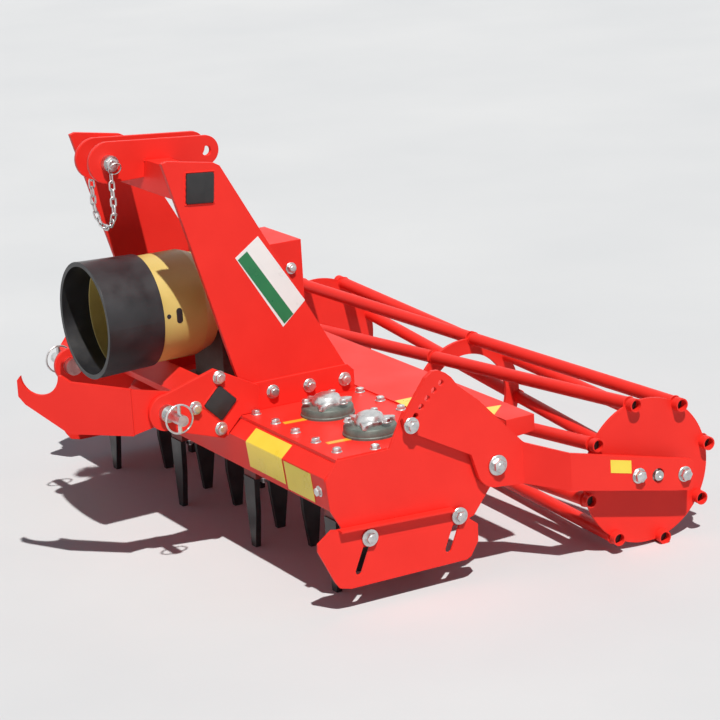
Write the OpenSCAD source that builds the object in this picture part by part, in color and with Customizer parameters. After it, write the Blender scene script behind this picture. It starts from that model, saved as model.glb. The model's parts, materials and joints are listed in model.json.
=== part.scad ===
// Light power harrow: seven geared rotors under a gear trough, three-point headstock, cage roller.
// X runs across the working width, the tractor couples at the front (-Y), +Z is up, floor at Z = 0.

/* [Rotors] */
// Distance between neighbouring rotor axes
pitch = 165; // [150:1:180]
// Radius of the circle the tine tips run on
tine_circle_r = 99; // [90:1:99]
// Thickness of a tine blade
tine_t = 12; // [8:1:14]
// Width of a tine at its root
tine_w = 46; // [36:1:50]
// Radius of the rotor head that carries the tines
rotor_head_r = 46; // [40:1:50]
// Turn of the rotor train from square to the trough
train_turn = 0; // [-20:1:20]

/* [Trough] */
// Height of the trough floor above ground
trough_z = 201; // [190:1:212]
// Height of the trough walls
trough_h = 87; // [82:1:92]
// Distance from rotor line to the front wall
trough_front = 158; // [140:1:170]
// Distance from rotor line to the rear wall
trough_rear = 168; // [160:1:176]
// Thickness of the bolted cover
cover_t = 8; // [5:1:12]
// Radius of a rotor bearing cap
cap_r = 56; // [46:1:62]

/* [End plates] */
// Thickness of end plates and side shields
side_t = 5; // [4:1:8]
// Radius of the shield guide bolts
shield_bolt_r = 7; // [5:0.5:8]
// Travel of a side shield along its slots
shield_travel = 66; // [40:1:68]

/* [Headstock] */
// Outside distance from centre to the foot of a headstock leg
leg_x = 219; // [212:1:226]
// Thickness of leg and hitch plates
leg_t = 10; // [8:1:12]
// Height of the top-link pin
top_pin_z = 793; // [788:1:798]
// Distance of the top-link pin in front of the rotor line
top_pin_y = 289; // [282:1:296]
// Radius of the top-link pin
top_pin_r = 9.5; // [9:0.1:13]
// Clear gap between the top-link lugs
lug_gap = 50; // [44:1:60]
// Height of the lower hitch pins
low_pin_z = 333; // [328:1:338]
// Distance of the lower hitch pins in front of the rotor line
low_pin_y = 296; // [290:1:302]
// Radius of the lower hitch pins
low_pin_r = 11; // [10.5:0.1:14]
// Side of the square upper tie tube
tie_s = 60; // [50:1:64]
// Side of the square hitch beam
beam_s = 52; // [45:1:56]

/* [Driveline] */
// Height of the input shaft
pto_z = 481; // [474:1:488]
// Radius of the input shaft
pto_r = 17.5; // [17:0.1:22]
// Outer radius of the black guard sleeve
sleeve_r = 117; // [112:1:122]
// Half width of the sheet hood over the gearbox
hood_x = 78; // [72:1:90]
// Height of the hood top
hood_z = 586; // [580:1:600]

/* [Roller] */
// Radius of the circle of roller tubes
cage_r = 143; // [138:1:148]
// Radius of a roller tube
tube_r = 13.5; // [11:0.5:16]
// Wall of a roller tube
tube_wall = 2.7; // [2:0.1:3.5]
// Turn of the tubes from one roller end to the other
cage_twist = 47; // [30:1:55]
// Reach of the tube ends past the trough's end
cage_over = 69.5; // [63:0.5:74]
// Distance of the roller axle behind the rotor line
roller_y = 519; // [512:1:526]
// Height of the arm pivot
pivot_z = 222; // [218:1:226]
// Distance of the arm pivot behind the rotor line
pivot_y = 200; // [197:1:203]
// Radius of the arm pivot bolt
pivot_r = 10; // [8:0.5:12]

/* [Clearance] */
// Running clearance at pins and shafts
run_c = 0.3; // [0.3:0.1:0.8]
// Gap between sliding plates
slide_c = 1; // [0.6:0.1:2]

/* [Hidden] */
$fn = 48;
rotor_n = 7;
tube_n = 8;
cage_a0 = 102.6;
trough_top = trough_z + trough_h;
cover_top = trough_top + cover_t;
trough_x = pitch * rotor_n / 2 + 25;
cage_x = trough_x + cage_over;
plate_x = trough_x + side_t;
shield_x = plate_x + slide_c;
arm_x = plate_x + 4;
arm_t = 10;
roller_reach = cage_r * cos(cage_a0 - 90) + tube_r;
roller_z = roller_reach;
disc_x = cage_x - 22;
disc_t = 6;
ring_t = 8;
ring_r = cage_r * cos(cage_twist / 2);
axle_r = 17;
arm_rear_x = cage_x + 14;
joggle_y0 = 262;
joggle_y1 = 322;
bear_x = arm_rear_x - 8;
bear_r = 32;
bear_half = 68;
bear_h = 34;
rest_t = 8;
rest_bend_y = -low_pin_y - 72;
rest_len = 227;
rest_a = 45;
rest_tip_y = rest_bend_y - rest_len * cos(rest_a);
frame_y = -(rest_tip_y + roller_y + roller_reach) / 2;
head_top = trough_z - 18 - 5;
head_h = 32;
tine_root_z = head_top - head_h;
shield_a = 23.5;
shield_bolt_y = [-81, 115];
shield_bolt_z = 137;
lip_w = 14;
lip_t = 4;
depth_r = 216.5;
depth_a0 = 148;
depth_step = 5.2;
leg_set = 3;
fold_z = cover_top + 56;
tie_y = -185;
tie_z = 755;
tie_x = leg_x - leg_set;
beam_y = -181;
beam_z = 331;
guard_y = -88;
guard_r = sleeve_r - 9;
guard_x = trough_x;
guard_rear_y = 300;
lug_t = 10;
lug_x = lug_gap / 2;
chain_n = 17;
chain_p = 16.1;
chain_x = -lug_x - lug_t - 18;
chain_bend = (2 * lug_x + 2 * lug_t + 27) / 2;
chain_side = (23.6 + (chain_n - 1) * chain_p - PI * chain_bend - 10) / 2;

// Distance of a rotor axis from the middle of the machine.
function rotor_x(k) = (k - (rotor_n + 1) / 2) * pitch;

// Extrudes a side-view profile (Y, Z) from x0 to x1.
module side(x0, x1) {
  translate([x0, 0, 0])
    rotate([90, 0, 90])
      linear_extrude(height = x1 - x0)
        children();
}

// Round bar along X.
module bar_x(r, x0, x1, y, z) {
  translate([x0, y, z])
    rotate([0, 90, 0])
      cylinder(r = r, h = x1 - x0);
}

// Copies a piece to the other side of the machine.
module both() {
  children();
  mirror([1, 0, 0])
    children();
}

// Moves the rotor line to its place behind the middle of the machine.
module placed() {
  translate([0, frame_y, 0])
    children();
}

module gear_trough() {
  color([0.84, 0.10, 0.08])
    placed()
      difference() {
        side(-trough_x, trough_x)
          polygon([[-trough_front + 2, trough_z], [-trough_front - 6, trough_z + 64],
            [-trough_front + 20, trough_top], [trough_rear - 16, trough_top],
            [trough_rear + 4, trough_z + 64], [trough_rear - 4, trough_z]]);
        for (k = [1:rotor_n])
          translate([rotor_x(k), 0, trough_z - 1])
            cylinder(r = 25, h = 41);
      }
}

module trough_cover() {
  color([0.86, 0.11, 0.09])
    placed()
      translate([-trough_x, -trough_front + 22, trough_top])
        cube([2 * trough_x, trough_front + trough_rear - 42, cover_t]);
}

module rotor_housings() {
  color([0.55, 0.09, 0.08])
    placed()
      for (k = [1:rotor_n])
        translate([rotor_x(k), 0, trough_z - 18])
          difference() {
            cylinder(r = 66, h = 18);
            translate([0, 0, -1])
              cylinder(r = 25, h = 20);
          }
}

module rotor_caps() {
  color([0.33, 0.38, 0.34])
    placed()
      for (k = [1, 2, rotor_n - 1, rotor_n])
        translate([rotor_x(k), 0, cover_top]) {
          cylinder(r = cap_r, h = 9);
          cylinder(r1 = cap_r - 6, r2 = cap_r - 14, h = 20);
        }
}

module cap_flanges() {
  color([0.72, 0.73, 0.74])
    placed()
      for (k = [1, 2, rotor_n - 1, rotor_n])
        translate([rotor_x(k), 0, cover_top + 20]) {
          cylinder(r1 = 29, r2 = 24, h = 16);
          cylinder(r = 14, h = 22);
          for (a = [90, 210, 330])
            rotate([0, 0, a])
              translate([28, 0, 0])
                cylinder(r = 13, h = 6);
        }
}

module end_plate_profile() {
  polygon([[-trough_front + 22, cover_top], [-trough_front - 3, cover_top - 31],
    [-trough_front - 5, cover_top - 36], [-trough_front + 1, trough_z + 1], [-138, 169],
    [-118, 118], [118, 118], [152, 128], [197, 184], [pivot_y + 34, pivot_z - 10],
    [pivot_y + 34, pivot_z + 18], [115, cover_top],
    at_row(0, 0, 0) + [56, 25], at_row(0, 0, 0) + [-8, 25], [at_row(0, 0, 0)[0] - 42, cover_top]]);
}

module end_plate() {
  difference() {
    side(trough_x, plate_x)
      end_plate_profile();
    for (s = shield_bolt_y)
      bar_x(shield_bolt_r, trough_x - 1, plate_x + 1, s, shield_bolt_z);
    bar_x(pivot_r, trough_x - 1, plate_x + 1, pivot_y, pivot_z);
    bar_x(8, trough_x - 1, plate_x + 1, pivot_y + depth_r * cos(depth_a0), pivot_z + depth_r * sin(depth_a0));
  }
}

module end_plate_right() {
  color([0.86, 0.12, 0.09])
    placed()
      end_plate();
}

module end_plate_left() {
  color([0.86, 0.12, 0.09])
    placed()
      mirror([1, 0, 0])
        end_plate();
}

module shield_bolts() {
  color([0.75, 0.76, 0.78])
    placed()
      both()
        for (s = shield_bolt_y) {
          bar_x(shield_bolt_r, trough_x - 10, shield_x + side_t + slide_c, s, shield_bolt_z);
          bar_x(17, shield_x + side_t + slide_c, shield_x + side_t + slide_c + 3, s, shield_bolt_z);
          bar_x(12, shield_x + side_t + slide_c + 3, shield_x + side_t + slide_c + 11, s, shield_bolt_z);
          bar_x(12, trough_x - 10, trough_x, s, shield_bolt_z);
        }
}

module pivot_bolts() {
  color([0.75, 0.76, 0.78])
    placed()
      both() {
        bar_x(pivot_r, trough_x - 14, arm_x + arm_t + 1, pivot_y, pivot_z);
        bar_x(20, arm_x + arm_t + 1, arm_x + arm_t + 4, pivot_y, pivot_z);
        bar_x(15, arm_x + arm_t + 4, arm_x + arm_t + 15, pivot_y, pivot_z);
        bar_x(15, trough_x - 14, trough_x, pivot_y, pivot_z);
      }
}

module depth_bolts() {
  y = pivot_y + depth_r * cos(depth_a0);
  z = pivot_z + depth_r * sin(depth_a0);
  color([0.75, 0.76, 0.78])
    placed()
      both() {
        bar_x(8, arm_x, arm_x + arm_t, y, z);
        bar_x(16, arm_x + arm_t, arm_x + arm_t + 3, y, z);
        bar_x(12, arm_x + arm_t + 3, arm_x + arm_t + 12, y, z);
      }
}

module foot_rails() {
  color([0.80, 0.10, 0.08])
    placed()
      both()
        side(leg_x - leg_t - 30, leg_x - leg_t)
          polygon([[-118, cover_top], [115, cover_top], [115, fold_z - 6], [-118, fold_z - 6]]);
}

module tie_profile(w) {
  translate([tie_y, tie_z])
    rotate(-7)
      square(w, center = true);
}

module beam_profile(w) {
  translate([beam_y, beam_z])
    rotate(45)
      square(w, center = true);
}

// Upright foot strip with the leg folded slightly inward above it.
module leg() {
  side(leg_x - leg_t, leg_x)
    polygon([[-128, cover_top], [125, cover_top], [125, fold_z - 14], [111, fold_z], [-128, fold_z]]);
  side(leg_x - leg_set - leg_t, leg_x - leg_set)
    difference() {
      polygon([[-128, fold_z - 5], [110, fold_z - 5], [-139, fold_z + 440], [-151, fold_z + 447],
        [-249, fold_z + 463], [-261, fold_z + 460], [-128, fold_z]]);
      tie_profile(tie_s);
    }
}

module leg_right() {
  color([0.87, 0.12, 0.09])
    placed()
      leg();
}

module leg_left() {
  color([0.87, 0.12, 0.09])
    placed()
      mirror([1, 0, 0])
        leg();
}

module tie_tube() {
  color([0.82, 0.11, 0.09])
    placed()
      side(-tie_x, tie_x)
        difference() {
          tie_profile(tie_s);
          tie_profile(tie_s - 8);
        }
}

module tube_caps() {
  color([0.05, 0.05, 0.05])
    placed()
      both() {
        side(tie_x, tie_x + 3)
          tie_profile(tie_s);
        side(leg_x + leg_t, leg_x + leg_t + 3)
          beam_profile(beam_s);
      }
}

module top_lugs() {
  color([0.87, 0.12, 0.09])
    placed()
      both()
        side(lug_x, lug_x + lug_t)
          difference() {
            union() {
              translate([-top_pin_y, top_pin_z])
                circle(r = 41);
              translate([-79, top_pin_z - 6])
                circle(r = 30);
              polygon([[-top_pin_y, top_pin_z - 41], [-79, top_pin_z - 36], [-79, top_pin_z + 24],
                [-top_pin_y, top_pin_z + 41]]);
            }
            tie_profile(tie_s);
            translate([-top_pin_y, top_pin_z])
              circle(r = top_pin_r + run_c);
            translate([-76, top_pin_z - 7])
              circle(r = top_pin_r + run_c);
          }
}

module lug_gusset() {
  color([0.82, 0.11, 0.09])
    placed()
      side(-lug_x, lug_x)
        polygon([[tie_y + 45, tie_z + 13], [tie_y + 57, tie_z + 13], [tie_y + 65, tie_z + 45],
          [tie_y + 53, tie_z + 45]]);
}

module hitch_beam() {
  color([0.82, 0.11, 0.09])
    placed()
      side(-leg_x - leg_t, leg_x + leg_t)
        difference() {
          beam_profile(beam_s);
          beam_profile(beam_s - 8);
        }
}

module hitch_profile() {
  difference() {
    union() {
      translate([-low_pin_y, low_pin_z])
        circle(r = 36);
      polygon([[-low_pin_y, low_pin_z - 36], [-178, 258], [-trough_front - 8, 263],
        [-trough_front - 8, cover_top - 29], [-trough_front + 22, cover_top + 1], [-95, cover_top + 1],
        [-95, 350], [-188, 400], [-low_pin_y, low_pin_z + 36]]);
    }
    beam_profile(beam_s);
    translate([-low_pin_y, low_pin_z])
      circle(r = low_pin_r);
  }
}

module hitch_plate() {
  side(leg_x, leg_x + leg_t)
    hitch_profile();
}

module hitch_plate_right() {
  color([0.87, 0.12, 0.09])
    placed()
      hitch_plate();
}

module hitch_plate_left() {
  color([0.87, 0.12, 0.09])
    placed()
      mirror([1, 0, 0])
        hitch_plate();
}

// Lower hitch pin; its nut bears on whatever lies inside the hitch plate.
module hitch_pin(inner) {
  bar_x(low_pin_r, inner - 16, leg_x + 82, -low_pin_y, low_pin_z);
  bar_x(17, leg_x + leg_t, leg_x + leg_t + 12, -low_pin_y, low_pin_z);
  bar_x(18, inner - 16, inner, -low_pin_y, low_pin_z);
}

module hitch_pins() {
  color([0.78, 0.79, 0.80])
    placed() {
      hitch_pin(leg_x - rest_t);
      mirror([1, 0, 0])
        hitch_pin(leg_x);
    }
}

module linch(x, y, z, r) {
  translate([x, y, z])
    cylinder(r = 4, h = 2 * r + 6, center = true);
  translate([x, y, z])
    rotate([0, 90, 0])
      rotate_extrude()
        translate([r + 4, 0])
          circle(r = 2);
}

module linch_pins() {
  color([0.78, 0.79, 0.80])
    placed() {
      both()
        difference() {
          linch(leg_x + 65, -low_pin_y, low_pin_z, 24);
          bar_x(low_pin_r, leg_x + 50, leg_x + 80, -low_pin_y, low_pin_z);
        }
      difference() {
        linch(-lug_x - lug_t - 18, -top_pin_y, top_pin_z, 20);
        bar_x(top_pin_r, -lug_x - lug_t - 30, -lug_x - lug_t, -top_pin_y, top_pin_z);
      }
    }
}

module top_pin() {
  color([0.78, 0.79, 0.80])
    placed() {
      bar_x(top_pin_r, -lug_x - lug_t - 30, lug_x + lug_t + 4, -top_pin_y, top_pin_z);
      bar_x(16, lug_x + lug_t, lug_x + lug_t + 14, -top_pin_y, top_pin_z);
    }
}

// One oval chain link in the plane X-Z, hung from its upper end.
module link() {
  for (s = [-1, 1])
    translate([s * 5, 0, 0])
      cylinder(r = 1.8, h = 10, center = true);
  for (s = [0, 1])
    mirror([0, 0, s])
      translate([0, 0, 5])
        rotate([90, 0, 0])
          rotate_extrude(angle = 180, $fn = 24)
            translate([5, 0])
              circle(r = 1.8, $fn = 24);
}

module keeper_chain() {
  color([0.74, 0.75, 0.77])
    placed()
      translate([chain_x, -top_pin_y, top_pin_z - 26.3])
        for (i = [0:chain_n - 1])
          let (l = 11.8 + i * chain_p, t = (l - chain_side) / chain_bend * 180 / PI)
            if (l < chain_side)
              translate([0, 0, -l])
                rotate([0, 0, i % 2 * 90])
                  link();
            else if (t < 180)
              translate([chain_bend - chain_bend * cos(t), 0, -chain_side - chain_bend * sin(t)])
                rotate([0, -t, 0])
                  rotate([0, 0, i % 2 * 90])
                    link();
            else
              translate([2 * chain_bend, 0, l - 2 * chain_side - PI * chain_bend])
                rotate([0, 0, i % 2 * 90])
                  link();
}

module shaft_rest() {
  color([0.86, 0.12, 0.09])
    placed() {
      side(leg_x - rest_t, leg_x)
        difference() {
          polygon([[rest_bend_y, low_pin_z - 35], [-low_pin_y + 36, low_pin_z - 16],
            [-low_pin_y + 36, low_pin_z + 32], [rest_bend_y, low_pin_z + 58]]);
          translate([-low_pin_y, low_pin_z])
            circle(r = low_pin_r);
        }
      translate([leg_x, rest_bend_y, low_pin_z])
        rotate([0, 0, -rest_a])
          side(-rest_t, 0)
            difference() {
              polygon([[4, -35], [4, 58], [-118, 70], [-136, 82], [-219, 82], [-rest_len, 72],
                [-rest_len, 40], [-214, 24], [-128, -34]]);
              translate([-181, 82])
                circle(r = 39);
            }
    }
}

module gearbox() {
  color([0.30, 0.31, 0.31])
    placed()
      difference() {
        union() {
          translate([-65, guard_y, cover_top])
            cube([130, 165, hood_z - cover_top - 20]);
          translate([-95, guard_y - 15, cover_top])
            cube([190, 195, 14]);
          translate([0, guard_y, pto_z])
            rotate([90, 0, 0])
              cylinder(r = 52, h = 22);
        }
        translate([0, guard_y + 100, pto_z])
          rotate([90, 0, 0])
            cylinder(r = pto_r + 5 + run_c, h = 130);
      }
}

module gearbox_hood() {
  color([0.86, 0.12, 0.09])
    placed()
      difference() {
        translate([-hood_x, guard_y + 10, cover_top + 60])
          cube([2 * hood_x, 177, hood_z - cover_top - 60]);
        translate([-65, guard_y, cover_top])
          cube([130, 165, hood_z - cover_top - 20]);
        translate([-hood_x + 3, guard_y + 9, cover_top + 50])
          cube([2 * hood_x - 6, 175, hood_z - cover_top - 72]);
      }
}

module guard_collar() {
  color([0.72, 0.56, 0.10])
    placed()
      translate([0, guard_y, pto_z])
        rotate([90, 0, 0])
          difference() {
            union() {
              cylinder(r1 = guard_r - 34, r2 = guard_r - 11, h = 17);
              translate([0, 0, 17])
                cylinder(r1 = guard_r - 11, r2 = guard_r, h = 31);
              translate([0, 0, 48])
                cylinder(r = guard_r, h = 127);
            }
            translate([0, 0, 21])
              cylinder(r1 = guard_r - 15, r2 = guard_r - 4, h = 31);
            translate([0, 0, 50])
              cylinder(r = guard_r - 4, h = 130);
            translate([0, 0, -1])
              cylinder(r = 52, h = 30);
          }
}

module guard_sleeve() {
  color([0.04, 0.04, 0.04])
    placed()
      translate([0, guard_y - 143, pto_z])
        rotate([90, 0, 0])
          difference() {
            cylinder(r1 = sleeve_r - 4, r2 = sleeve_r, h = 121);
            translate([0, 0, -1])
              cylinder(r = guard_r, h = 123);
          }
}

module input_shaft() {
  color([0.60, 0.61, 0.62])
    placed()
      translate([0, guard_y + 60, pto_z])
        rotate([90, 0, 0])
          difference() {
            union() {
              cylinder(r = pto_r + 5, h = 85);
              cylinder(r = pto_r, h = 205);
            }
            for (a = [6:60:306])
              rotate([0, 0, a])
                translate([pto_r - 1.4, -2, 150])
                  cube([6, 4, 60]);
          }
}

module rear_guard() {
  color([0.84, 0.14, 0.11])
    placed()
      difference() {
        union() {
          side(-guard_x, guard_x)
            polygon([[trough_rear - 30, cover_top], [guard_rear_y, cover_top], [guard_rear_y, cover_top + 3],
              [trough_rear - 30, cover_top + 3]]);
          side(-guard_x, guard_x)
            polygon([[guard_rear_y - 3, cover_top - 24], [guard_rear_y, cover_top - 24],
              [guard_rear_y, cover_top], [guard_rear_y - 3, cover_top]]);
          both()
            side(guard_x - 3, guard_x)
              polygon([[236, cover_top - 36], [guard_rear_y, cover_top - 30], [guard_rear_y, cover_top],
                [236, cover_top]]);
        }
        both()
          translate([guard_x - 82, trough_rear + 12, cover_top - 50])
            cube([120, 224 - trough_rear, 100]);
      }
}

// Angle of a rotor's tine pair; neighbours stand square to each other.
function tine_turn(k) = k % 2 == 1 ? 90 - train_turn : train_turn;

module rotor(k) {
  color([0.20, 0.06, 0.05])
    placed()
      translate([rotor_x(k), 0, head_top])
        mirror([0, 0, 1]) {
          cylinder(r = rotor_head_r, h = head_h);
          rotate([0, 0, tine_turn(k)])
            translate([-tine_circle_r + 3, -25, 8])
              cube([2 * tine_circle_r - 6, 50, head_h - 8]);
          translate([0, 0, -40])
            cylinder(r = 25 - run_c, h = 41);
        }
}

module tine() {
  rotate([90, 0, 0])
    linear_extrude(height = tine_t, center = true)
      polygon([[-tine_w / 2, tine_root_z], [-tine_w / 2 + 4, tine_root_z - 60], [-8, 0], [10, 0],
        [tine_w / 2 - 2, tine_root_z - 70], [tine_w / 2, tine_root_z]]);
}

module tines(k) {
  color([0.05, 0.05, 0.05])
    placed()
      translate([rotor_x(k), 0, 0])
        rotate([0, 0, tine_turn(k)])
          for (s = [0, 180])
            rotate([0, 0, s])
              translate([tine_circle_r - tine_t / 2, 0, 0])
                rotate([0, 0, 90])
                  tine();
}

module rotor_1() {
  rotor(1);
}

module rotor_2() {
  rotor(2);
}

module rotor_3() {
  rotor(3);
}

module rotor_4() {
  rotor(4);
}

module rotor_5() {
  rotor(5);
}

module rotor_6() {
  rotor(6);
}

module rotor_7() {
  rotor(7);
}

module tines_1() {
  tines(1);
}

module tines_2() {
  tines(2);
}

module tines_3() {
  tines(3);
}

module tines_4() {
  tines(4);
}

module tines_5() {
  tines(5);
}

module tines_6() {
  tines(6);
}

module tines_7() {
  tines(7);
}

module shield_slot(s) {
  translate([s, shield_bolt_z])
    rotate(-shield_a) {
      circle(r = shield_bolt_r + run_c);
      translate([0, -shield_travel])
        circle(r = shield_bolt_r + run_c);
      translate([-shield_bolt_r - run_c, -shield_travel])
        square([2 * shield_bolt_r + 2 * run_c, shield_travel]);
    }
}

module shield() {
  side(shield_x, shield_x + side_t + lip_w)
    polygon([[-146, 166], [98, 156], [98, 156 - lip_t], [-146, 166 - lip_t]]);
  side(shield_x, shield_x + side_t)
    difference() {
      polygon([[-150, 166], [-160, 168], [-190, 147], [-191, 132], [-159, 66], [-149, 52], [-126, 46],
        [128, 46], [138, 51], [155, 78], [156, 112], [100, 156]]);
      for (s = shield_bolt_y)
        shield_slot(s);
    }
}

module side_shield_right() {
  color([0.87, 0.12, 0.09])
    placed()
      shield();
}

module side_shield_left() {
  color([0.87, 0.12, 0.09])
    placed()
      mirror([1, 0, 0])
        shield();
}

// Point by the row of depth holes: hole number, degrees past it, and distance outside the row.
function at_row(i, da, dr) = [pivot_y + (depth_r + dr) * cos(depth_a0 - i * depth_step + da),
  pivot_z + (depth_r + dr) * sin(depth_a0 - i * depth_step + da)];

// Side view of the roller arm from the depth holes to the axle.
module arm_profile() {
  difference() {
    union() {
      translate([pivot_y, pivot_z])
        circle(r = 44);
      polygon([at_row(0, 3.1, 7), at_row(0, 3.4, -16), [144, 253], [pivot_y - 40, pivot_z - 20],
        [pivot_y, pivot_z - 44], [joggle_y0, 172], [joggle_y1, roller_z + 10], [roller_y + 41, roller_z - 40],
        [roller_y + 77, roller_z - 46], [roller_y + 82, roller_z - 41], [roller_y + 85, roller_z + 9],
        [roller_y + 79, roller_z + 16], [joggle_y1, 237], [joggle_y0, 254], [166, 356], at_row(5, -7.3, -27),
        at_row(5, -6.2, -5), at_row(5, -4.6, 10), at_row(5, -2.4, 23), at_row(5, 0.3, 31), at_row(5, 4.6, 31),
        at_row(0, -1, 22)]);
    }
    translate([pivot_y, pivot_z])
      circle(r = pivot_r + run_c);
    for (i = [0:5])
      translate([pivot_y + depth_r * cos(depth_a0 - i * depth_step),
        pivot_z + depth_r * sin(depth_a0 - i * depth_step)])
        circle(r = i == 0 ? 8 : 6);
    translate([roller_y, roller_z])
      circle(r = 14);
  }
}

module arm() {
  intersection() {
    side(arm_x - 20, arm_rear_x + 40)
      arm_profile();
    linear_extrude(height = 700)
      polygon([[arm_x, -100], [arm_x + arm_t, -100], [arm_x + arm_t, joggle_y0 - 4],
        [arm_rear_x + arm_t, joggle_y1 - 4], [arm_rear_x + arm_t, 900], [arm_rear_x, 900],
        [arm_rear_x, joggle_y1], [arm_x, joggle_y0]]);
  }
}

module arm_right() {
  color([0.87, 0.12, 0.09])
    placed()
      arm();
}

module arm_left() {
  color([0.87, 0.12, 0.09])
    placed()
      mirror([1, 0, 0])
        arm();
}

module arm_bearings() {
  color([0.36, 0.40, 0.38])
    placed()
      both()
        difference() {
          union() {
            bar_x(bear_r, bear_x, arm_rear_x, roller_y, roller_z);
            side(bear_x, arm_rear_x)
              translate([roller_y - bear_half, roller_z - bear_h / 2])
                square([2 * bear_half, bear_h]);
          }
          bar_x(axle_r + run_c, bear_x - 1, arm_rear_x + 1, roller_y, roller_z);
        }
}

// Part of one straight tube between two planes square to the axle; a is its angle at the near disc.
module tube_run(a, r, x0, x1) {
  dy = cage_r * (cos(a + cage_twist) - cos(a));
  dz = cage_r * (sin(a + cage_twist) - sin(a));
  len = sqrt(dy * dy + dz * dz + 4 * disc_x * disc_x);
  intersection() {
    translate([disc_x, roller_y + cage_r * cos(a), roller_z + cage_r * sin(a)])
      rotate([0, acos(dz / len), atan2(dy, -2 * disc_x)])
        translate([0, 0, -40])
          cylinder(r = r, h = len + 80);
    translate([x0, roller_y - 2 * cage_r, roller_z - 2 * cage_r])
      cube([x1 - x0, 4 * cage_r, 4 * cage_r]);
  }
}

module roller_tubes() {
  color([0.85, 0.12, 0.09])
    placed()
      for (i = [0:tube_n - 1])
        let (a = cage_a0 + i * 360 / tube_n) {
          tube_run(a, tube_r, ring_t / 2, disc_x);
          tube_run(a, tube_r, -disc_x, -ring_t / 2);
        }
}

module roller_tube_ends() {
  color([0.85, 0.12, 0.09])
    placed()
      for (i = [0:tube_n - 1])
        let (a = cage_a0 + i * 360 / tube_n)
          difference() {
            union() {
              tube_run(a, tube_r, disc_x + disc_t, cage_x);
              tube_run(a, tube_r, -cage_x, -disc_x - disc_t);
            }
            tube_run(a, tube_r - tube_wall, disc_x + disc_t + 1, cage_x + 1);
            tube_run(a, tube_r - tube_wall, -cage_x - 1, -disc_x - disc_t - 1);
          }
}

module roller_discs() {
  color([0.86, 0.12, 0.09])
    placed()
      both()
        bar_x(cage_r + 2, disc_x, disc_x + disc_t, roller_y, roller_z);
}

module roller_ring() {
  color([0.85, 0.12, 0.09])
    placed()
      difference() {
        bar_x(ring_r, -ring_t / 2, ring_t / 2, roller_y, roller_z);
        bar_x(ring_r - 33, -ring_t, ring_t, roller_y, roller_z);
      }
}

module roller_axle() {
  color([0.60, 0.61, 0.62])
    placed()
      both()
        bar_x(axle_r, disc_x + disc_t, arm_rear_x - 1, roller_y, roller_z);
}

gear_trough();
trough_cover();
rotor_housings();
rotor_caps();
cap_flanges();
end_plate_left();
end_plate_right();
shield_bolts();
pivot_bolts();
depth_bolts();
foot_rails();
leg_left();
leg_right();
tie_tube();
tube_caps();
top_lugs();
lug_gusset();
hitch_beam();
hitch_plate_left();
hitch_plate_right();
hitch_pins();
linch_pins();
top_pin();
keeper_chain();
shaft_rest();
gearbox();
gearbox_hood();
guard_collar();
guard_sleeve();
input_shaft();
rear_guard();
rotor_1();
rotor_2();
rotor_3();
rotor_4();
rotor_5();
rotor_6();
rotor_7();
tines_1();
tines_2();
tines_3();
tines_4();
tines_5();
tines_6();
tines_7();
side_shield_left();
side_shield_right();
arm_left();
arm_right();
arm_bearings();
roller_tubes();
roller_tube_ends();
roller_discs();
roller_ring();
roller_axle();
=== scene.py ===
# %% [markdown]
# # A light power harrow
# The object is a tractor implement: seven upright rotors with knife tines under a long red gear
# trough, a three-point headstock with a guarded input shaft, and a cage roller that sets the depth.
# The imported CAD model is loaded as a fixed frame. Everything here is added on top of it, in metres.

# %% Load the frame
import json
import math
import bmesh
import bpy
from mathutils import Matrix, Vector


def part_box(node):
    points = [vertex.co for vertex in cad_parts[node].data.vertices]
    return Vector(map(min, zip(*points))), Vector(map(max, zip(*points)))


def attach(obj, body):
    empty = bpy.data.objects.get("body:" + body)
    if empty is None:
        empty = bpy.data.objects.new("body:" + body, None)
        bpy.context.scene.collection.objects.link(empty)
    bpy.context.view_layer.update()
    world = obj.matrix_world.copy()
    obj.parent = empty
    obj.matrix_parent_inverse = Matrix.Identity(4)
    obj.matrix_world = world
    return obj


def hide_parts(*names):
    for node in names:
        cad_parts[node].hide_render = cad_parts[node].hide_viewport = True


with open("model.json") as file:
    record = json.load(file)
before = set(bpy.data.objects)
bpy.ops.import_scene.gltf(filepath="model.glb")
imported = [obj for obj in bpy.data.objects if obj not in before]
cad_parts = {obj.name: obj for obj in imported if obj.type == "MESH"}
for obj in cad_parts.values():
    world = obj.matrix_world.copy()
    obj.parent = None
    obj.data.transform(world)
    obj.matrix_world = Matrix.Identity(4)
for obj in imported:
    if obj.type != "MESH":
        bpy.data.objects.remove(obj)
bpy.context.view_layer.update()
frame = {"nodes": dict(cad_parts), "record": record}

# %% [markdown]
# The maker's drawing counts millimetres from the line of rotor axes, because every size on the
# machine hangs off that line. The frame counts metres from the middle of the box. One small helper
# turns the first into the second, so that the numbers below read as they would on the drawing.

# %% From the drawing to the frame
MM = 0.001
caps_low, caps_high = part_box("rotor_housings")
ROTOR_LINE_Y = (caps_low[1] + caps_high[1]) / 2


def at(x, y, z):
    """A point of the drawing, in millimetres from the rotor line, as a point of the frame."""
    return Vector((x * MM, y * MM + ROTOR_LINE_Y, z * MM))


print("rotor line at y =", round(ROTOR_LINE_Y, 4))

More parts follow.
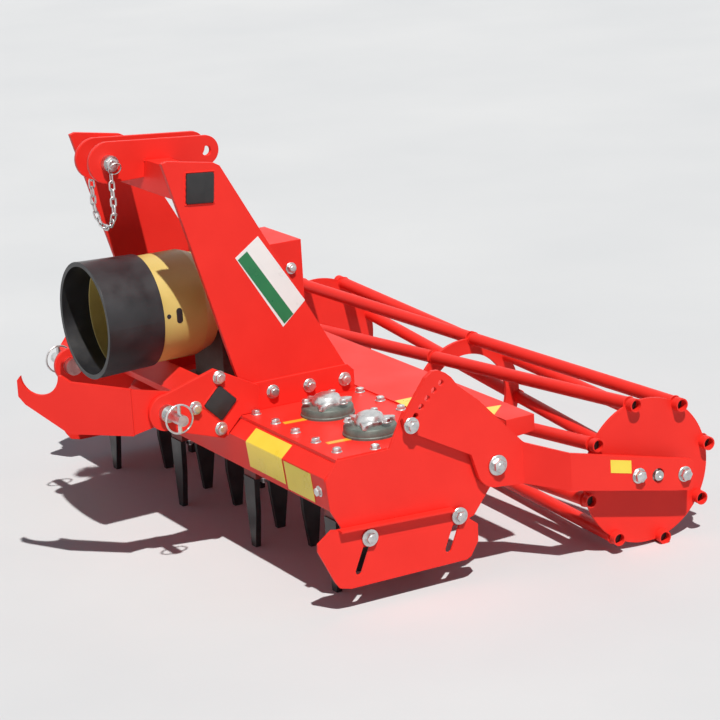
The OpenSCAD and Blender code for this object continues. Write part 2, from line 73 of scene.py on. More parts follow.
# %% Sizes that several pieces share, in millimetres and degrees
COVER_TOP = 296                            # upper face of the trough cover
TROUGH_END_X = 602.5                       # outer face of the trough's end
LEG_X, FOOT_X, HITCH_X = 216, 219, 229     # outer faces of upper leg, foot and hitch plate
TIE_Y, TIE_Z, TIE_TILT = -185, 755, -5     # square tube between the legs' tops
BEAM_Y, BEAM_Z, BEAM_TILT = -181, 331, 45  # square tube between the hitch plates
TOP_PIN_Y, TOP_PIN_Z = -289, 793
PIVOT_Y, PIVOT_Z = 200, 222                # bolt that a roller arm swings about
DEPTH_R, DEPTH_ANGLE = 216.5, 148          # place of the depth bolt, seen from the pivot
ARM_FRONT_X, ARM_T, ARM_REAR_X = 611.5, 10, 696  # inner front face, thickness, outer rear face
ROLLER_Y, ROLLER_Z = 519.0, 153.06
CAGE_R, CAGE_TWIST, CAGE_FIRST = 143.0, 47.0, 102.6
TUBE_COUNT, DISC_X = 8, 650.0
ROTOR_COUNT, ROTOR_PITCH = 7, 165
CAP_X = (-495, -330, 330, 495)
PTO_Z, GUARD_Y = 481, -88                  # middle of the input shaft, and rear end of its guard
print("roller axle", ROLLER_Y, "mm behind the rotor line")

# %% [markdown]
# ## Camera
# The photograph is taken from the front right, a little above the headstock, with a long lens from
# about five metres away. The three turns are heading, height and a slight lean of the camera.

# %% Camera
CAMERA_PLACE = at(4747.2, -2376.6, 1777.1)
CAMERA_HEADING = math.radians(-29.064)
CAMERA_HEIGHT = math.radians(15.350)
CAMERA_LEAN = -0.0589
FOCAL_PIXELS = 2689.7
IMAGE_SIZE = 720
SENSOR_WIDTH = 36.0

back = Vector((math.cos(CAMERA_HEIGHT) * math.cos(CAMERA_HEADING),
               math.cos(CAMERA_HEIGHT) * math.sin(CAMERA_HEADING),
               math.sin(CAMERA_HEIGHT)))
level_right = Vector((0, 0, 1)).cross(back).normalized()
level_up = back.cross(level_right)
right = level_right * math.cos(CAMERA_LEAN) + level_up * math.sin(CAMERA_LEAN)
up = back.cross(right)

camera_data = bpy.data.cameras.new("photo_camera")
camera_data.sensor_width = SENSOR_WIDTH
camera_data.lens = FOCAL_PIXELS / IMAGE_SIZE * SENSOR_WIDTH
camera = bpy.data.objects.new("photo_camera", camera_data)
turn = Matrix((right, up, back)).transposed().to_4x4()
camera.matrix_world = Matrix.Translation(CAMERA_PLACE) @ turn
bpy.context.scene.collection.objects.link(camera)
bpy.context.scene.camera = camera
print("lens", round(camera_data.lens, 1), "mm")

# %% [markdown]
# ## Light and floor
# The real machine stands on pale concrete in strong sun from the right, high up and a little to the
# front. One lamp with a small disc gives the same crisp shadow to the left, and an even sky fills
# the rest. The backdrop's white comes from what the camera and bright metal see of the sky, not from
# more light.

# %% Light and floor
SUN_STRENGTH, SUN_DISC = 4.2, math.radians(1.0)
SUN_COLOUR, SUN_FROM = (1.0, 0.97, 0.93), Vector((0.51, -0.15, 0.85))
SKY_COLOUR, SKY_STRENGTH = (0.66, 0.80, 1.0, 1), 0.14
FLOOR_HALF = 30

scene = bpy.context.scene
scene.view_settings.view_transform = "Standard"

sun_data = bpy.data.lights.new("clear_sun", "SUN")
sun_data.energy = SUN_STRENGTH
sun_data.angle = SUN_DISC
sun_data.color = SUN_COLOUR
sun = bpy.data.objects.new("clear_sun", sun_data)
sun.rotation_mode = "QUATERNION"
sun.rotation_quaternion = SUN_FROM.to_track_quat("Z", "Y")
scene.collection.objects.link(sun)

sky = bpy.data.worlds.new("even_sky")
sky.use_nodes = True
scene.world = sky
sky_nodes, sky_links = sky.node_tree.nodes, sky.node_tree.links
sky_nodes.clear()
sky_out = sky_nodes.new("ShaderNodeOutputWorld")
sky_light = sky_nodes.new("ShaderNodeBackground")
sky_light.inputs["Color"].default_value = SKY_COLOUR
sky_light.inputs["Strength"].default_value = SKY_STRENGTH
sky_seen = sky_nodes.new("ShaderNodeBackground")
sky_seen.inputs["Color"].default_value = (1, 1, 1, 1)
sky_seen.inputs["Strength"].default_value = 1.0
ray = sky_nodes.new("ShaderNodeLightPath")
sky_mix = sky_nodes.new("ShaderNodeMixShader")
camera_or_glossy = sky_nodes.new("ShaderNodeMath")
sky_links.new(ray.outputs["Is Camera Ray"], camera_or_glossy.inputs[0])
sky_links.new(ray.outputs["Is Glossy Ray"], camera_or_glossy.inputs[1])
with_glass = sky_nodes.new("ShaderNodeMath")
with_glass.use_clamp = True
sky_links.new(camera_or_glossy.outputs[0], with_glass.inputs[0])
sky_links.new(ray.outputs["Is Transmission Ray"], with_glass.inputs[1])
sky_links.new(with_glass.outputs[0], sky_mix.inputs[0])
sky_links.new(sky_light.outputs[0], sky_mix.inputs[1])
sky_links.new(sky_seen.outputs[0], sky_mix.inputs[2])
sky_links.new(sky_mix.outputs[0], sky_out.inputs["Surface"])

floor_mesh = bmesh.new()
bmesh.ops.create_grid(floor_mesh, x_segments=1, y_segments=1, size=FLOOR_HALF)
floor_data = bpy.data.meshes.new("floor")
floor_mesh.to_mesh(floor_data)
floor_mesh.free()
floor = bpy.data.objects.new("floor", floor_data)
scene.collection.objects.link(floor)
print("sun, sky and floor are in place")

# %% [markdown]
# ## Finishes
# Each finish is a small node tree on a Principled shader. Noise on Object coordinates breaks up the
# colour and the roughness, and a fine bump gives the grain. What is the same all over the surface is
# typed into the shader's own socket, because linked constants are lost when the model is exported.

# %% A finish from noise
DRIFT_FROM, DRIFT_TO = 0.3, 0.7  # the part of the noise's range that is used
BUMP_DEPTH = 0.0006


def finish_of(name, dark, light, rough, scale, bump=0.0, bump_scale=400.0, metal=0.0, shine=0.5,
              spots=0.5):
    """A finish that drifts between two colours and two roughnesses, with a fine bump on top."""
    made = bpy.data.materials.new(name)
    made.use_nodes = True
    nodes, links = made.node_tree.nodes, made.node_tree.links
    shader = nodes["Principled BSDF"]
    shader.inputs["Metallic"].default_value = metal
    shader.inputs["Specular IOR Level"].default_value = shine
    where = nodes.new("ShaderNodeTexCoord")
    drift = nodes.new("ShaderNodeTexNoise")
    drift.inputs["Scale"].default_value = scale
    drift.inputs["Detail"].default_value = 6.0
    drift.inputs["Roughness"].default_value = spots
    links.new(where.outputs["Object"], drift.inputs["Vector"])
    tint = nodes.new("ShaderNodeValToRGB")
    tint.color_ramp.elements[0].position = DRIFT_FROM
    tint.color_ramp.elements[1].position = DRIFT_TO
    tint.color_ramp.elements[0].color = (*dark, 1)
    tint.color_ramp.elements[1].color = (*light, 1)
    links.new(drift.outputs["Fac"], tint.inputs["Fac"])
    links.new(tint.outputs["Color"], shader.inputs["Base Color"])
    gloss = nodes.new("ShaderNodeMapRange")
    gloss.inputs["From Min"].default_value = DRIFT_FROM
    gloss.inputs["From Max"].default_value = DRIFT_TO
    gloss.inputs["To Min"].default_value = rough[0]
    gloss.inputs["To Max"].default_value = rough[1]
    links.new(drift.outputs["Fac"], gloss.inputs["Value"])
    links.new(gloss.outputs["Result"], shader.inputs["Roughness"])
    if bump:
        grain = nodes.new("ShaderNodeTexNoise")
        grain.inputs["Scale"].default_value = bump_scale
        grain.inputs["Detail"].default_value = 3.0
        links.new(where.outputs["Object"], grain.inputs["Vector"])
        press = nodes.new("ShaderNodeBump")
        press.inputs["Strength"].default_value = bump
        press.inputs["Distance"].default_value = BUMP_DEPTH
        links.new(grain.outputs["Fac"], press.inputs["Height"])
        links.new(press.outputs["Normal"], shader.inputs["Normal"])
    return made


# %% The machine's finishes
FINISHES = {
    "red_paint": finish_of(
        "red_paint", (0.76, 0.024, 0.016), (0.83, 0.031, 0.021), (0.40, 0.52), 7,
        bump=0.08, bump_scale=260, shine=0.22),
    "zinc": finish_of(
        "zinc", (0.46, 0.47, 0.48), (0.72, 0.72, 0.71), (0.24, 0.42), 90,
        bump=0.15, bump_scale=700, metal=1.0, spots=0.7),
    "cast_grey": finish_of(
        "cast_grey", (0.075, 0.100, 0.085), (0.150, 0.180, 0.160), (0.35, 0.55), 60,
        bump=0.5, bump_scale=420, metal=0.2, spots=0.7),
    "dark_casting": finish_of(
        "dark_casting", (0.10, 0.012, 0.010), (0.20, 0.020, 0.015), (0.4, 0.6), 30,
        bump=0.4, bump_scale=380),
    "black_tine": finish_of(
        "black_tine", (0.006, 0.006, 0.007), (0.018, 0.018, 0.020), (0.28, 0.46), 40,
        bump=0.25, bump_scale=500),
    "black_plastic": finish_of(
        "black_plastic", (0.008, 0.008, 0.009), (0.016, 0.016, 0.017), (0.42, 0.6), 50,
        bump=0.3, bump_scale=900),
    "black_rubber": finish_of(
        "black_rubber", (0.010, 0.010, 0.012), (0.020, 0.020, 0.023), (0.34, 0.5), 25,
        bump=0.2, bump_scale=700),
    "yellow_plastic": finish_of(
        "yellow_plastic", (0.54, 0.415, 0.12), (0.62, 0.485, 0.155), (0.34, 0.5), 14,
        bump=0.2, bump_scale=600),
    "bright_steel": finish_of(
        "bright_steel", (0.42, 0.42, 0.42), (0.62, 0.62, 0.61), (0.22, 0.38), 60,
        bump=0.2, bump_scale=600, metal=1.0, spots=0.7),
}


def sticker_of(name, dark, light):
    """The smooth finish of a printed sticker."""
    return finish_of(name, dark, light, (0.25, 0.4), 20)


STICKER_YELLOW = sticker_of("sticker_yellow", (0.82, 0.62, 0.05), (0.88, 0.68, 0.07))
STICKER_ORANGE = sticker_of("sticker_orange", (0.85, 0.38, 0.02), (0.90, 0.44, 0.03))
STICKER_WHITE = sticker_of("sticker_white", (0.74, 0.75, 0.74), (0.80, 0.80, 0.79))
STICKER_GREEN = sticker_of("sticker_green", (0.010, 0.16, 0.055), (0.014, 0.19, 0.065))
floor_finish = finish_of(
    "pale_concrete", (0.592, 0.608, 0.625), (0.642, 0.655, 0.667), (0.75, 0.95), 1.2,
    bump=0.15, bump_scale=60)
floor_data.materials.append(floor_finish)
print("finishes:", ", ".join(FINISHES))

# %% Dress the CAD nodes
node_slot = {row["node"]: row["material_slot"] for row in frame["record"]["subparts"]}
for name, node in frame["nodes"].items():
    node.data.materials.clear()
    node.data.materials.append(FINISHES[node_slot[name]])
print("dressed", len(node_slot), "nodes")

# %% [markdown]
# ## Soft edges
# Cut and painted plate never has a knife edge: a thin line of light runs along every rim. The CAD
# solids are exact, so a Weld modifier first closes the seams that the import leaves between faces.
# A Decimate modifier joins the triangles of each flat face, which would else draw lines across it, and
# a Bevel modifier then rounds the sharp edges by a millimetre or two. The meshes stay as they are.

# %% Soft edges
SEAM_GAP = 0.00001
FLAT_ANGLE, SHARP_ANGLE = math.radians(0.3), math.radians(35)
SOFT_EDGE = {  # width of the rounding, in millimetres
    "leg_left": 1.0, "leg_right": 1.0, "tie_tube": 1.5, "top_lugs": 1.0, "hitch_beam": 1.5,
    "hitch_plate_left": 1.0, "hitch_plate_right": 1.0, "shaft_rest": 0.9, "gearbox_hood": 1.2,
    "end_plate_left": 0.8, "end_plate_right": 0.8, "side_shield_left": 0.8, "side_shield_right": 0.8,
    "arm_left": 1.0, "arm_right": 1.0, "gear_trough": 2.0, "trough_cover": 1.2, "rear_guard": 0.6,
    "foot_rails": 1.2, "gearbox": 2.0,
}
SOFT_EDGE.update({"tines_%d" % k: 0.8 for k in range(1, ROTOR_COUNT + 1)})
SOFT_EDGE.update({"rotor_%d" % k: 1.2 for k in range(1, ROTOR_COUNT + 1)})
for name, width in SOFT_EDGE.items():
    node = frame["nodes"][name]
    seams_closed = node.modifiers.new("close_seams", "WELD")
    seams_closed.merge_threshold = SEAM_GAP
    flats_joined = node.modifiers.new("join_flats", "DECIMATE")
    flats_joined.decimate_type = "DISSOLVE"
    flats_joined.angle_limit = FLAT_ANGLE
    rounded = node.modifiers.new("soft_edges", "BEVEL")
    rounded.width = width * MM
    rounded.segments = 2
    rounded.limit_method = "ANGLE"
    rounded.angle_limit = SHARP_ANGLE
    rounded.harden_normals = True
    rounded.use_clamp_overlap = True
print("soft edges on", len(SOFT_EDGE), "nodes")

# %% [markdown]
# ## Small shop of shapes
# Every added piece is made from a few workshop moves. A turned shape is a half profile spun about an
# axis. A plate is an outline, filled, pulled to its thickness and bevelled. A bead is a row of circles
# bridged along a path. Each shape is made at the origin with its foot on the ground, and is then
# carried to its seat. Building at the origin keeps the numbers of one bolt free of those of its place.

# %% Seats and joining
CREASE = math.radians(32)  # a sharper edge than this keeps its line in the shading


def seat(point, axis):
    """The turn and shift that stand a shape made at the origin on a point, with its top along axis."""
    return Matrix.Translation(point) @ Vector(axis).to_track_quat("Z", "Y").to_matrix().to_4x4()


def join(whole, part, place):
    """Adds a small shape to a piece at its seat."""
    bmesh.ops.remove_doubles(part, verts=part.verts, dist=1e-6)
    bmesh.ops.recalc_face_normals(part, faces=part.faces)
    bmesh.ops.transform(part, matrix=place, verts=part.verts)
    carry = bpy.data.meshes.new("carry")
    part.to_mesh(carry)
    part.free()
    whole.from_mesh(carry)
    bpy.data.meshes.remove(carry)


def done(name, shape, body, slot, finish=None, instead_of=()):
    """Turns a finished shape into an object that rides on a body and wears a finish."""
    for face in shape.faces:
        face.smooth = True
    for edge in shape.edges:
        if len(edge.link_faces) == 2 and edge.calc_face_angle(0) > CREASE:
            edge.smooth = False
    data = bpy.data.meshes.new(name)
    shape.to_mesh(data)
    shape.free()
    made = bpy.data.objects.new(name, data)
    scene.collection.objects.link(made)
    data.materials.append(finish or FINISHES[slot])
    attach(made, body)
    if instead_of:
        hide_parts(*instead_of)
    print(name, "faces:", len(data.polygons))
    return made


# %% Turned shapes, hexagons, plates and beads
def circle(middle, height, radius, steps=12):
    """The closed half profile of a round wire: (radius, height) pairs about a middle."""
    turns = [2 * math.pi * i / steps for i in range(steps)]
    points = [(middle + radius * math.cos(t), height + radius * math.sin(t)) for t in turns]
    return points + points[:1]


def turned(profile, steps=32):
    """Spins a half profile of (radius, height) pairs, in millimetres, about the upright axis."""
    part = bmesh.new()
    corners = [part.verts.new((r * MM, 0, h * MM)) for r, h in profile]
    sides = [part.edges.new(pair) for pair in zip(corners, corners[1:])]
    bmesh.ops.spin(part, geom=corners + sides, cent=(0, 0, 0), axis=(0, 0, 1),
                   angle=2 * math.pi, steps=steps, use_merge=True, use_duplicate=False)
    return part


def hexagon(across, height, foot):
    """A hexagon head with a soft rim, standing at the height foot."""
    part = bmesh.new()
    radius = across / math.sqrt(3) * MM
    bmesh.ops.create_cone(part, cap_ends=True, segments=6, radius1=radius, radius2=radius,
                          depth=height * MM, matrix=Matrix.Translation((0, 0, (foot + height / 2) * MM)))
    rim = [e for e in part.edges if all(v.co.z > (foot + height / 2) * MM for v in e.verts)]
    bmesh.ops.bevel(part, geom=rim, offset=across * 0.09 * MM, offset_type="OFFSET", segments=2,
                    profile=0.5, affect="EDGES", material=-1)
    return part


def plate(outline, thickness, bevel=0.0):
    """An outline in millimetres, filled, pulled up to its thickness, with a softened upper rim."""
    part = bmesh.new()
    face = part.faces.new([part.verts.new((x * MM, y * MM, 0)) for x, y in outline])
    pulled = bmesh.ops.extrude_face_region(part, geom=[face])
    top = [v for v in pulled["geom"] if isinstance(v, bmesh.types.BMVert)]
    bmesh.ops.translate(part, vec=(0, 0, thickness * MM), verts=top)
    if bevel:
        rim = [e for e in part.edges if e.verts[0] in top and e.verts[1] in top]
        bmesh.ops.bevel(part, geom=rim, offset=bevel * MM, offset_type="OFFSET", segments=2,
                        profile=0.5, affect="EDGES", material=-1)
    return part


def bead(path, radius, closed=False, ripple=5):
    """A weld bead: small circles along a path of frame points, swelling a little, bridged in pairs."""
    part = bmesh.new()
    rings = []
    count = len(path)
    for i, point in enumerate(path):
        ahead = path[(i + 1) % count] if closed or i < count - 1 else point
        behind = path[i - 1] if closed or i > 0 else point
        swell = radius * MM * (1 + 0.16 * math.sin(2 * math.pi * i / ripple))
        made = bmesh.ops.create_circle(part, cap_ends=False, segments=8, radius=swell,
                                       matrix=seat(point, ahead - behind))
        rings.append(list({e for v in made["verts"] for e in v.link_edges}))
    pairs = list(zip(rings, rings[1:])) + ([(rings[-1], rings[0])] if closed else [])
    for low, high in pairs:
        bmesh.ops.bridge_loops(part, edges=low + high)
    if not closed:
        for ring in (rings[0], rings[-1]):
            bmesh.ops.contextual_create(part, geom=ring)
    return part


def along(corners, step=2.5, closed=False):
    """Points every few millimetres along a run of frame points."""
    points = []
    ends = corners + corners[:1] if closed else corners
    for a, b in zip(ends, ends[1:]):
        count = max(1, round((b - a).length / (step * MM)))
        points += [a.lerp(b, i / count) for i in range(count)]
    return points if closed else points + [ends[-1]]


print("the shop is ready")

# %% [markdown]
# ## Bolts
# A bolt head is a washer turned on a spindle and a hexagon with a softened rim. Every bolt on the
# machine is the same pair of shapes in another size, so one function makes them all. A nut also
# shows the end of its thread, which is a short turned stud.

# %% One bolt
def bolt(whole, point, axis, across, head, washer=None, thick=2.5, stud=0.0, spin=0.0):
    """A washer, a hexagon and, for a nut, the end of the thread, seated on a point."""
    place = seat(point, axis) @ Matrix.Rotation(spin, 4, "Z")
    foot = 0.0
    if washer:
        soft = 0.6
        bore = across * 0.3
        join(whole, turned([(bore, 0), (washer, 0), (washer, thick - soft), (washer - soft, thick),
                            (bore, thick)]), place)
        foot = thick
    join(whole, hexagon(across, head, foot), place)
    top = foot + head
    if stud:
        r = across * 0.29
        join(whole, turned([(r, top - 1), (r, top + stud - 1), (r - 1, top + stud),
                            (0, top + stud)], 20), place)
    else:
        r = across * 0.40
        join(whole, turned([(r, top - 0.3), (r - 0.8, top + 0.5), (0, top + 0.7)], 20), place)


def shank(whole, radius, length, point, axis, steps=24):
    """The plain round part of a bolt that goes through the plates."""
    join(whole, turned([(0, 0), (radius, 0), (radius, length), (0, length)], steps), seat(point, axis))


# Common heads: width over the flats, head, washer radius and washer thickness.
SMALL = dict(across=15, head=7, washer=10.5, thick=2)
MIDDLE = dict(across=19, head=8, washer=13.5, thick=2.5)

# %% Rim bolts of the trough cover
RIM_X = [80 * k for k in range(-7, 8)]
HEADSTOCK_HALF = 235
rim = bmesh.new()
for k, x in enumerate(RIM_X):
    if abs(x) > HEADSTOCK_HALF:
        bolt(rim, at(x, -110, COVER_TOP), (0, 0, 1), **SMALL, spin=0.4 * k)
        bolt(rim, at(x, 124, COVER_TOP), (0, 0, 1), **SMALL, spin=0.7 * k)
for x in (-590, 590):
    for y in (-45, 40):
        bolt(rim, at(x, y, COVER_TOP), (0, 0, 1), **SMALL, spin=0.2 * y)
done("rim_bolts", rim, "frame", "zinc")

# %% Foot and hitch bolts
FOOT_BOLTS = ((-60, 328), (22, 325), (102, 323))
HITCH_BOLTS = ((-180, 382), (-235, 331), (-183, 279))
TOP_PIN_END_X = 49
feet = bmesh.new()
for side in (-1, 1):
    for y, z in FOOT_BOLTS:
        bolt(feet, at(side * FOOT_X, y, z), (side, 0, 0), 19, 8, washer=14, thick=2.5, spin=0.3 * y)
    for y, z in HITCH_BOLTS:
        bolt(feet, at(side * HITCH_X, y, z), (side, 0, 0), **MIDDLE, spin=0.2 * z)
for x in (-577, 577):
    bolt(feet, at(x, -160, 235), (0, -64, -8), 15, 7, washer=11, thick=2)
bolt(feet, at(TOP_PIN_END_X, TOP_PIN_Y, TOP_PIN_Z), (1, 0, 0), 22, 7)
done("foot_bolts", feet, "frame", "zinc")

# %% [markdown]
# The bolts that clamp the side shields, the two pivot bolts and the two depth bolts are plain drums in
# the CAD model. Here they get their real heads, and the new piece stands for the node.

# %% Shield and pivot bolts
SHIELD_BOLT_YS, SHIELD_BOLT_Z, SHIELD_FACE_X = (-81, 115), 137, 614.5
clamps = bmesh.new()
for side in (-1, 1):
    for y in SHIELD_BOLT_YS:
        outer = at(side * SHIELD_FACE_X, y, SHIELD_BOLT_Z)
        inner = at(side * TROUGH_END_X, y, SHIELD_BOLT_Z)
        bolt(clamps, outer, (side, 0, 0), 19, 7.5, washer=17, thick=3, spin=0.15 * y)
        shank(clamps, 7, 12, inner, (side, 0, 0))
        bolt(clamps, inner, (-side, 0, 0), 19, 9, spin=0.5)
done("shield_clamp_bolts", clamps, "frame", "zinc", instead_of=("shield_bolts",))

pivots = bmesh.new()
for side in (-1, 1):
    outer = at(side * (ARM_FRONT_X + ARM_T + 1), PIVOT_Y, PIVOT_Z)
    inner = at(side * TROUGH_END_X, PIVOT_Y, PIVOT_Z)
    bolt(pivots, outer, (side, 0, 0), 24, 10, washer=20, thick=3, stud=1.0)
    shank(pivots, 10, 20, inner, (side, 0, 0), 32)
    bolt(pivots, inner, (-side, 0, 0), 24, 13)
done("pivot_bolt_heads", pivots, "frame", "zinc", instead_of=("pivot_bolts",))

# %% Depth bolts on the roller arms
DEPTH_Y = PIVOT_Y + DEPTH_R * math.cos(math.radians(DEPTH_ANGLE))
DEPTH_Z = PIVOT_Z + DEPTH_R * math.sin(math.radians(DEPTH_ANGLE))
depths = bmesh.new()
for side in (-1, 1):
    outer = at(side * (ARM_FRONT_X + ARM_T), DEPTH_Y, DEPTH_Z)
    bolt(depths, outer, (side, 0, 0), 19, 8.5, washer=16, thick=3, spin=0.3)
    shank(depths, 7.8, ARM_T, at(side * ARM_FRONT_X, DEPTH_Y, DEPTH_Z), (side, 0, 0))
done("depth_bolt_heads", depths, "roller_arms", "zinc", instead_of=("depth_bolts",))

# %% [markdown]
# ## Rotor caps
# Over each of the outer rotors sits a green-grey cast ring with a bright lid. The lid has three ears,
# each held by a small bolt. The ring is turned. The lid's outline is a circle that swells three times
# on its way round, which one cosine gives, and its dome is a second turned shape.

# %% Rotor caps
RING_PROFILE = [(0, 0), (53, 0), (53, 4), (51.5, 5.5), (51, 16), (49, 19), (46, 20), (0, 20)]
DOME_PROFILE = [(29, 26), (28, 31), (24, 38), (15, 42), (6, 43), (0, 43)]
LID_R, EAR_REACH, LID_POINTS = 30, 21, 72
LID_TURN, EAR_BOLT_R = 18, 43
rings = bmesh.new()
lids = bmesh.new()
for n, x in enumerate(CAP_X):
    middle = at(x, 0, COVER_TOP)
    upright = seat(middle, (0, 0, 1)) @ Matrix.Rotation(math.radians(LID_TURN), 4, "Z")
    join(rings, turned(RING_PROFILE, 56), upright)
    lobes = []
    for i in range(LID_POINTS):
        a = 2 * math.pi * i / LID_POINTS
        reach = LID_R + EAR_REACH * max(0.0, math.cos(3 * a)) ** 3
        lobes.append((reach * math.cos(a), reach * math.sin(a)))
    join(lids, plate(lobes, 9, bevel=2), upright @ Matrix.Translation((0, 0, 19.5 * MM)))
    join(lids, turned(DOME_PROFILE, 40), upright)
    for k in range(3):
        a = math.radians(120 * k + LID_TURN)
        ear = at(x + EAR_BOLT_R * math.cos(a), EAR_BOLT_R * math.sin(a), COVER_TOP + 28)
        bolt(lids, ear, (0, 0, 1), 13, 6, washer=9, thick=2, spin=0.4 * n + k)
done("cap_rings", rings, "frame", "cast_grey", instead_of=("rotor_caps",))
done("cap_lids", lids, "frame", "zinc", instead_of=("cap_flanges",))

# %% [markdown]
# ## Roller ends
# Each arm carries a flanged bearing behind it. What shows is two bolts through the arm and the end of
# the axle in its hole. The bolts ride with the arms, while the axle's end turns with the roller.

# %% Roller ends
BEARING_BOLTS = ((473, 162), (581, 143))
AXLE_PROFILE = [(0, 0), (10.5, 0), (10.5, 3), (9.5, 4.2), (4, 4.2), (2.5, 2.5), (0, 2.5)]
arm_bolts = bmesh.new()
axle_ends = bmesh.new()
for side in (-1, 1):
    for y, z in BEARING_BOLTS:
        bolt(arm_bolts, at(side * ARM_REAR_X, y, z), (side, 0, 0), 22, 9, washer=15.5, spin=0.1 * y)
    join(axle_ends, turned(AXLE_PROFILE, 36),
         seat(at(side * (ARM_REAR_X + 0.2), ROLLER_Y, ROLLER_Z), (side, 0, 0)))
done("arm_bolts", arm_bolts, "roller_arms", "zinc")
done("axle_ends", axle_ends, "roller", "bright_steel")

# %% [markdown]
# ## Tube caps
# The ends of the two square tubes are closed by black plastic caps with soft rims. The outline is a
# square with round corners: four quarter circles, one after the other.

# %% Tube caps
def soft_square(half, corner, steps=5):
    """A square outline with round corners, in millimetres."""
    points = []
    inner = half - corner
    for k, (sx, sy) in enumerate(((1, 1), (-1, 1), (-1, -1), (1, -1))):
        for i in range(steps + 1):
            a = math.pi / 2 * (k + i / steps)
            points.append((sx * inner + corner * math.cos(a), sy * inner + corner * math.sin(a)))
    return points


caps = bmesh.new()
for side in (-1, 1):
    for x, y, z, half, tilt in ((LEG_X, TIE_Y, TIE_Z, 29.5, TIE_TILT),
                                (HITCH_X, BEAM_Y, BEAM_Z, 25.5, BEAM_TILT)):
        place = seat(at(side * x, y, z), (side, 0, 0)) @ Matrix.Rotation(math.radians(tilt), 4, "Z")
        join(caps, plate(soft_square(half, 5), 4.5, bevel=1.8), place)
done("square_tube_caps", caps, "frame", "black_plastic", instead_of=("tube_caps",))

# %% [markdown]
# ## Welds
# The frame is welded from plate, and the beads show as small glints under the paint. A bead is a row
# of circles along the seam that swell and shrink, bridged one to the next. A plain tube would look
# like a wire, so the ripple matters more than the size.

# %% Welds of the frame
TIE_HALF, BEAM_DIAGONAL = 31, 38
COVER_SEAM_Z = COVER_TOP + 1
tie_turn = Matrix.Rotation(math.radians(TIE_TILT), 2)
seams = bmesh.new()


def weld(corners, radius, step=2.5, closed=False):
    """One bead along a run of frame points, added to the frame's seams."""
    join(seams, bead(along(corners, step, closed), radius, closed), Matrix())


for side in (-1, 1):
    turned_corners = [tie_turn @ Vector((TIE_HALF * u, TIE_HALF * v))
                      for u, v in ((-1, -1), (1, -1), (1, 1), (-1, 1))]
    weld([at(side * LEG_X, TIE_Y + c.x, TIE_Z + c.y) for c in turned_corners], 1.8, closed=True)
    weld([at(side * HITCH_X, BEAM_Y + BEAM_DIAGONAL * u, BEAM_Z + BEAM_DIAGONAL * v)
          for u, v in ((-1, 0), (0, -1), (1, 0), (0, 1))], 1.8, closed=True)
    weld([at(side * 602, -132, COVER_SEAM_Z), at(side * 602, -28, COVER_SEAM_Z)], 1.6)
    for lug_face in (25, 35):
        weld([at(side * lug_face, -214, 786), at(side * lug_face, -156, 782)], 1.8)
    weld([at(side * 179, -117, COVER_SEAM_Z), at(side * 179, 114, COVER_SEAM_Z)], 2.2, step=4)
done("frame_welds", seams, "frame", "red_paint")

# %% Welds of the roller
TUBE_SPAN = 2 * DISC_X
WELD_R = 14.2  # just outside a tube


def cage_point(tube, share):
    """A point of a tube's middle line; share runs from 0 at the near disc to 1 at the far one."""
    a0 = math.radians(CAGE_FIRST + 360 / TUBE_COUNT * tube)
    a1 = a0 + math.radians(CAGE_TWIST)
    near = at(DISC_X, ROLLER_Y + CAGE_R * math.cos(a0), ROLLER_Z + CAGE_R * math.sin(a0))
    far = at(-DISC_X, ROLLER_Y + CAGE_R * math.cos(a1), ROLLER_Z + CAGE_R * math.sin(a1))
    return near.lerp(far, share)


cage_seams = bmesh.new()
at_disc, at_ring = 0.5 / TUBE_SPAN, 4.5 / TUBE_SPAN
for tube in range(TUBE_COUNT):
    run = (cage_point(tube, 1) - cage_point(tube, 0)).normalized()
    for share in (at_disc, 0.5 - at_ring, 0.5 + at_ring, 1 - at_disc):
        place = seat(cage_point(tube, share), run)
        path = [place @ (Vector((math.cos(t), math.sin(t), 0)) * WELD_R * MM)
                for t in [2 * math.pi * i / 30 for i in range(30)]]
        join(cage_seams, bead(path, 1.2, closed=True), Matrix())
done("cage_welds", cage_seams, "roller", "red_paint")

# %% [markdown]
# The tubes are open at both ends. The CAD model drills each end only a short way, so a thin dark disc
# at the bottom of the bore stands for the unlit inside of a long tube.

# %% Painted shade inside the tubes
tube_shade_discs = bmesh.new()
bore_end = 7.4 / TUBE_SPAN
for tube in range(TUBE_COUNT):
    run = (cage_point(tube, 0) - cage_point(tube, 1)).normalized()
    for share, axis in ((-bore_end, run), (1 + bore_end, -run)):
        shank(tube_shade_discs, 10.6, 0.6, cage_point(tube, share), axis)
# The black plastic finish on these discs is painted shade; the tubes hold no plug.
done("tube_painted_shade", tube_shade_discs, "roller", "black_plastic")

# %% [markdown]
# ## Keeper ring
# The chain's near end hangs from a wire ring, which goes through the top pin's head. The ring is a small
# circle of wire spun once round. It leans out, from the chain's last link up to the head's end.

# %% Keeper ring
keeper = bmesh.new()
join(keeper, turned(circle(13, 0, 1.4), 48), seat(at(51.8, -283.8, 782.7), (0.886, 0, -0.464)))
done("keeper_ring", keeper, "frame", "zinc")

# %% [markdown]
# ## Input guard
# The guard is a mustard plastic collar with a thin black sleeve over its mouth. The collar goes on
# inside the sleeve as a lining, which is turned from a thin section. The sleeve's rim has a rolled
# lip. Two small dark openings on the collar's side let a hand reach the yoke's catch.

# %% Input guard
LINING_PROFILE = [(107.6, 170), (107.6, 205), (106.6, 206), (105.2, 205), (105.2, 170), (107.6, 170)]
COLLAR_R = 108.35  # just outside the collar
forward = seat(at(0, GUARD_Y, PTO_Z), (0, -1, 0))
lining = bmesh.new()
join(lining, turned(LINING_PROFILE, 72), forward)
done("guard_lining", lining, "frame", "yellow_plastic")

lip = bmesh.new()
join(lip, turned(circle(116.4, 263.2, 1.1), 72), forward)
done("sleeve_lip", lip, "frame", "black_rubber")


